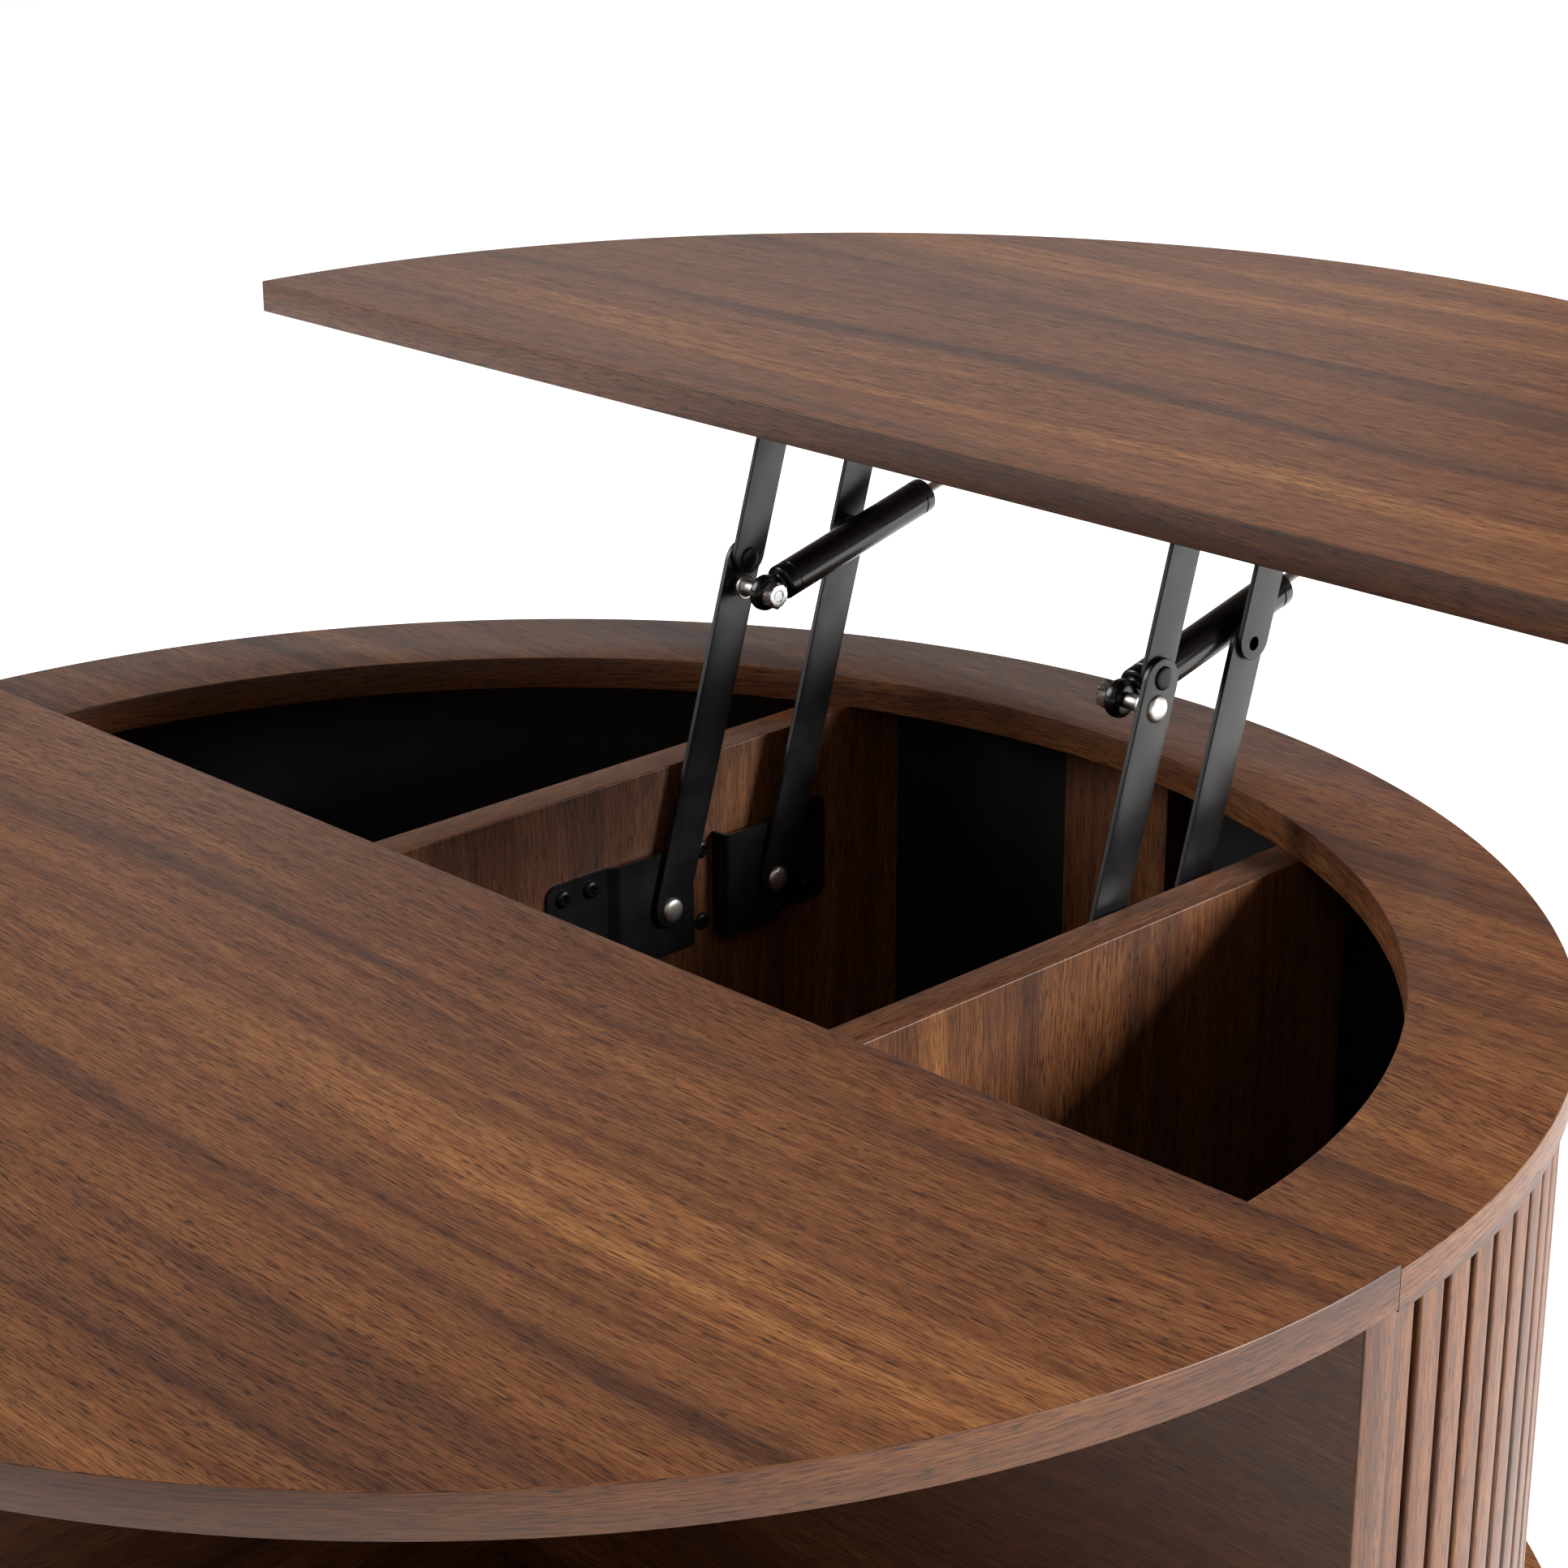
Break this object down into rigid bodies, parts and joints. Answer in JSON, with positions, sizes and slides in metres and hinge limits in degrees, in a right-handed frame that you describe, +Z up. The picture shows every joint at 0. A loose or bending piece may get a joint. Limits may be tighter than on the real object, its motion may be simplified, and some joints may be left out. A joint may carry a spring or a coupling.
{
  "type": "lift_top_coffee_table",
  "caption": "Round walnut-pattern coffee table with a half-round lid that swings up and out on parallel arms over divided storage, an open front shelf and a fluted rear wall",
  "frame": {"origin": "On the floor at the foot of the centre leg, under the middle of the round top", "axes": "+Z up; +Y is the side the lid lifts out to, opposite the open shelf; +X is across the table, along the straight edge of the fixed top"},
  "size_m": [0.8479, 1.0419, 0.574],
  "materials": {
    "walnut_veneer": "satin walnut-pattern laminate on board",
    "dark_core": "bare stained board",
    "black_lining": "matte black lining",
    "beech": "turned beech",
    "black_steel": "black powder coat, satin",
    "black_screws": "black oxide",
    "satin_nickel": "satin nickel plate",
    "zinc": "bright zinc plate",
    "dark_felt": "pressed felt",
    "dark_rubber": "matte rubber"
  },
  "bodies": {
    "root": {"base_board": "walnut_veneer", "leg_front_left": "walnut_veneer", "leg_front_right": "walnut_veneer", "leg_rear_left": "walnut_veneer", "leg_rear_right": "walnut_veneer", "leg_centre": "walnut_veneer", "leg_plates": "black_steel", "leg_plate_screws": "zinc", "glides": "dark_felt", "partition": "walnut_veneer", "shelf_divider": "walnut_veneer", "divider_left": "walnut_veneer", "divider_right": "walnut_veneer", "rear_post": "walnut_veneer", "wall_panel_right": "dark_core", "wall_panel_rear_right": "dark_core", "wall_panel_rear_left": "dark_core", "wall_panel_left": "dark_core", "wall_lining": "black_lining", "wall_slats": "walnut_veneer", "ring_top": "walnut_veneer", "fixed_top": "walnut_veneer", "dowels": "beech", "front_bracket_left": "black_steel", "front_bracket_right": "black_steel", "rear_bracket_left": "black_steel", "rear_bracket_right": "black_steel", "base_bracket_screws": "black_screws", "front_base_rivets": "satin_nickel", "rear_base_rivets": "satin_nickel"},
    "front_arms": {"front_arm_left": "black_steel", "front_arm_right": "black_steel", "strut_studs": "satin_nickel", "stud_collars": "satin_nickel"},
    "rear_arms": {"rear_arm_left": "black_steel", "rear_arm_right": "black_steel"},
    "lid": {"lid_panel": "walnut_veneer", "lid_bracket_left": "black_steel", "lid_bracket_right": "black_steel", "lid_bracket_screws": "black_screws", "lid_bumpers": "dark_rubber", "front_lid_rivets": "black_screws", "rear_lid_rivets": "black_screws", "strut_hangers": "black_steel", "hanger_pins": "satin_nickel"},
    "strut_rods": {"strut_rod_left": "satin_nickel", "strut_rod_right": "satin_nickel"},
    "strut_cylinders": {"strut_cylinder_left": "black_steel", "strut_cylinder_right": "black_steel", "strut_nuts": "zinc"}
  },
  "joints": [
    {"name": "lift", "type": "hinge", "parent": "root", "child": "front_arms", "pos_m": [0, 0.1945, 0.3342], "axis": [1, 0, 0], "range_deg": [0, 101.73]},
    {"name": "lid_level", "type": "hinge", "parent": "front_arms", "child": "lid", "pos_m": [0, 0.24078, 0.48945], "axis": [1, 0, 0], "range_deg": [-101.73, 0]},
    {"name": "rear_arms_swing", "type": "hinge", "parent": "root", "child": "rear_arms", "pos_m": [0, 0.2555, 0.3342], "axis": [1, 0, 0], "range_deg": [0, 101.73]},
    {"name": "strut_tilt", "type": "hinge", "parent": "lid", "child": "strut_rods", "pos_m": [0, 0.38276, 0.51376], "axis": [1, 0, 0], "range_deg": [-1.17, 0]},
    {"name": "strut_slide", "type": "slide", "parent": "strut_rods", "child": "strut_cylinders", "axis": [0, 0.9703, 0.2419], "range_m": [0, 0.01997]}
  ],
  "couplings": [
    {"joint": "lid_level", "follows": "lift", "ratio": -1},
    {"joint": "rear_arms_swing", "follows": "lift", "ratio": 1},
    {"joint": "strut_tilt", "follows": "lift", "ratio": -0.0114},
    {"joint": "strut_slide", "follows": "lift", "m_per_rad": 0.01122}
  ]
}
